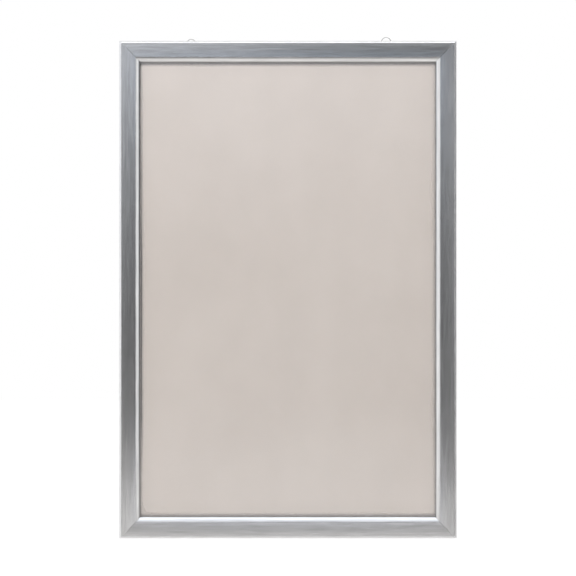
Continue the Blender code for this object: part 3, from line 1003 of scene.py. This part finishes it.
studio = {
    "floorBelow": 0.45,
    "floorSize": 40.0,
    "floorColour": (0.86, 0.86, 0.86),
    "floorShown": (0.30, 0.90),  # added for the camera alone: near the frame, and far away
    "floorFade": (1.5, 4.0),
    "world": 0.16,  # how strongly the white surroundings light the frame
    "mirrored": 0.90,  # how bright the metal sees them
    "cardLift": 0.01,  # of the cards that lie on the floor
    "roof": 2.9,  # height of the cards overhead
}


def makeFloor():
    s = studio
    bm = bmesh.new()
    bmesh.ops.create_grid(bm, x_segments=1, y_segments=1, size=s["floorSize"] / 2)
    bmesh.ops.translate(bm, verts=bm.verts, vec=(0, 0, railLow.z - s["floorBelow"]))
    floor = addObject("floor", makeMesh("floor", bm))
    material, w = newMaterial("paleFloor")
    matt = w.node("BsdfDiffuse", None, {"Color": s["floorColour"]})
    rays = w.node("LightPath", None, None, "Is Camera Ray")
    place = w.node("TexCoord", None, None, "Object")
    away = w.node("VectorMath", {"operation": "LENGTH"}, {0: place}, "Value")
    added = rays * spread(w, away, *s["floorFade"], *s["floorShown"])
    white = w.node("Emission", None, {"Color": (1, 1, 1), "Strength": added})
    seen = w.node("AddShader", None, {0: matt, 1: white})
    clear = w.node("BsdfTransparent", None, {"Color": (1, 1, 1)})
    under = w.node("NewGeometry", None, None, "Backfacing")
    setSurface(w.node("MixShader", None, {0: under, 1: seen, 2: clear}))
    floor.data.materials.append(material)


def makeWorld():
    # white where the camera looks, a little less in the metal, and dim as a light
    world = bpy.data.worlds.new("whiteStudio")
    w = emptyTree(world)
    cameraRay = w.node("LightPath", None, None, "Is Camera Ray")
    glossyRay = w.node("LightPath", None, None, "Is Glossy Ray")
    clearRay = w.node("LightPath", None, None, "Is Transmission Ray")
    seen = w.maths("MAXIMUM", cameraRay, clearRay)
    mirrored = w.maths("MAXIMUM", seen, glossyRay * studio["mirrored"])
    strength = w.maths("MAXIMUM", mirrored, studio["world"])
    setSurface(w.node("Background", None, {"Color": (1, 1, 1), "Strength": strength}), "World")
    bpy.context.scene.world = world


lights = {  # where it stands, what it points at, its size, power and colour
    "overhead": ((-0.15, -1.5, 2.9), (0, 0, 0.35), (2.0, 1.0), 90, (0.95, 0.98, 1.04)),
    "leftLight": ((-2.4, -1.9, 0.35), (0, 0, 0.35), (1.6, 2.0), 42, (1, 1, 1)),
    "rightLight": ((2.4, -1.9, 0.35), (0, 0, 0.35), (1.6, 2.0), 33, (1, 1, 1)),
    "backLight": ((0.9, 2.6, 1.2), (0, 0, 0.45), (2.2, 1.6), 45, (1, 1, 1)),
}


def areaLight(name, place, aim, size, power, colour):
    data = bpy.data.lights.new(name, "AREA")
    data.shape = "RECTANGLE"
    data.size, data.size_y = size
    data.energy = power
    data.color = colour
    light = addObject(name, data)
    light.location = place
    light.rotation_euler = (Vector(aim) - Vector(place)).to_track_quat("-Z", "Y").to_euler()
    light.visible_glossy = False


cards = {  # what the metal mirrors: from (x, y) to (x, y), heights, and the glow at its corners
    "cameraLow": ((-1.55, -3.5), (1.55, -3.5), (-0.10, 0.30), (0.11, 0.09), (0.07, 0.14)),
    "cameraHigh": ((-1.55, -3.5), (1.55, -3.5), (0.30, 1.02), (0.07, 0.14), (0.41, 0.34)),
    "lowLeft": ((-1.55, -3.5), (-0.5, -3.5), (-0.46, -0.165), (1.35, 1.35), (1.35, 1.35)),
    "lowMiddle": ((-0.49, -3.5), (0.49, -3.5), (-0.33, -0.12), (2.4, 2.4), (2.4, 2.4)),
    "lowRight": ((0.5, -3.5), (1.55, -3.5), (-0.46, -0.22), (1.45, 1.45), (1.45, 1.45)),
    "highLeft": ((-1.55, -3.5), (-0.51, -3.5), (1.03, 1.26), (0.72, 0.72), (0.72, 0.72)),
    "highMiddle": ((-0.50, -3.5), (0.50, -3.5), (1.03, 1.20), (1.35, 1.35), (1.35, 1.20)),
    "highRight": ((0.51, -3.5), (1.55, -3.5), (1.03, 1.26), (0.54, 0.54), (0.54, 0.54)),
    "upperRight": ((0.31, -6.0), (3.2, -6.0), (1.30, 2.8), (0.01, 0.01), (0.01, 0.01)),
    "upperLeft": ((-0.8, -6.0), (0.30, -6.0), (1.30, 2.8), (0.80, 0.01), (0.80, 0.01)),
    "upperFar": ((-3.2, -6.0), (-0.81, -6.0), (1.30, 2.8), (0.80, 0.80), (0.80, 0.80)),
    "stripLeft": ((-3.1, -5.9), (-6.2, -3.5), (-0.46, 5.0), (1.35, 1.35), (1.35, 1.35)),
    "stripRight": ((3.1, -5.9), (5.6, -4.4), (-0.46, 5.0), (1.35, 1.35), (1.35, 1.35)),
    "wingLeft": ((-6.25, -3.45), (-6.3, -2.3), (-0.46, 5.0), (1.3, 1.3), (1.3, 1.3)),
    "wingLeftBack": ((-6.3, -2.29), (-6.3, -0.1), (-0.46, 5.0), (0.18, 0.18), (0.18, 0.18)),
    "wingRight": ((5.75, -4.3), (6.2, -2.6), (-0.46, 5.0), (0.30, 0.30), (0.30, 0.30)),
    "wingRightBack": ((6.2, -2.59), (6.3, -0.1), (-0.46, 5.0), (0.04, 0.04), (0.04, 0.04)),
}
ground = railLow.z - studio["floorBelow"] + studio["cardLift"]
roof = studio["roof"]
flatCards = {  # the same, lying flat: from x to x, from y to y, height, and glow
    "floorUnder": (-3, 3, -0.02, -0.49, ground, 0.85),
    "floorNear": (-3, 3, -0.5, -1.7, ground, 1.20),
    "floorMiddle": (-3, 3, -1.71, -2.1, ground, 0.34),
    "floorFar": (-2.5, 2.5, -2.11, -3.49, ground, 0.18),
    "floorLeft": (-6.2, -2.51, -2.11, -5.6, ground, 1.30),
    "floorRight": (2.51, 6.2, -2.11, -5.6, ground, 1.30),
    "floorLeftBack": (-6.2, -3.01, -1.0, -2.1, ground, 1.30),
    "floorRightBack": (3.01, 6.2, -1.0, -2.1, ground, 0.60),
    "roofNear": (-2, 2, -0.1, -1.9, roof, 2.20),
    "roofFar": (-2, 2, -1.91, -4.2, roof, 1.50),
    "overRim": (-0.33, 0.33, -0.0062, -0.0098, railHigh.z + 1 * mm, 1.00),
    "overTop": (-0.34, 0.34, -0.0139, -0.0238, railHigh.z + 8 * mm, 4.0),
    "lipStart": (-0.45, 0.45, -1.0, -1.5, 0.25, 0.30),
}
cardTint = {"low": (1.02, 1.0, 0.98), "high": (0.96, 1.0, 1.07)}
cardRise = (0.0, 1.1)  # the heights that those tints are for
cardHue = {  # these have their own
    "highMiddle": (0.84, 1.0, 1.23),
    "lowMiddle": (0.98, 1.0, 1.06),
    "stripLeft": (1, 1, 1),
    "stripRight": (1, 1, 1),
    "overRim": (1, 1, 1),
    "overTop": (1, 1, 1),
}
leastRise = 0.01  # so that a flat card's glow has a height to run over


def makeCard(name, start, along, up, glowLow, glowHigh):
    # a flat sheet that only mirrors show, from a corner and its two edges
    bm = bmesh.new()
    corner = bmesh.ops.create_vert(bm, co=start)["vert"]
    edge = bmesh.ops.extrude_vert_indiv(bm, verts=corner)
    bmesh.ops.translate(bm, verts=edge["verts"], vec=along)
    stretchEdges(bm, edge["edges"], up)
    card = addObject(name, makeMesh(name, bm))
    material, w = newMaterial(name)
    place = w.node("TexCoord", None, None, "Object")
    height = w.node("SeparateXYZ", None, {"Vector": place}, "Z")
    reach = w.node("VectorMath", {"operation": "DOT_PRODUCT"}, {0: place, 1: along}, "Value")
    first = Vector(start).dot(Vector(along))
    across = spread(w, reach, first, first + Vector(along).length_squared, 0, 1)
    rise = spread(w, height, *cardRise, 0, 1)
    shade = spread(w, height, start[2], start[2] + max(up[2], leastRise), 0, 1)
    edges = [tint(w, across, (a, a, a), (b, b, b)) for a, b in (glowLow, glowHigh)]
    hue = cardHue.get(name) or tint(w, rise, cardTint["low"], cardTint["high"])
    settings = {"data_type": "RGBA", "blend_type": "MULTIPLY"}
    colour = w.node("Mix", settings, {0: 1.0, 6: tint(w, shade, *edges), 7: hue}, 2)
    setSurface(w.node("Emission", None, {"Color": colour, "Strength": 1.0}))
    card.data.materials.append(material)
    card.visible_camera = False
    card.visible_shadow = False
    card.visible_diffuse = False


makeCamera()
makeFloor()
makeWorld()
for name, (start, end, (bottom, top), glowLow, glowHigh) in cards.items():
    along = (end[0] - start[0], end[1] - start[1], 0)
    makeCard(name, (*start, bottom), along, (0, 0, top - bottom), glowLow, glowHigh)
for name, (left, right, near, away, height, glow) in flatCards.items():
    along, up = (right - left, 0, 0), (0, away - near, 0)
    makeCard(name, (left, near, height), along, up, (glow, glow), (glow, glow))
for name, settings in lights.items():
    areaLight(name, *settings)
bpy.context.scene.view_settings.view_transform = "Standard"
print("camera, floor and lights made")
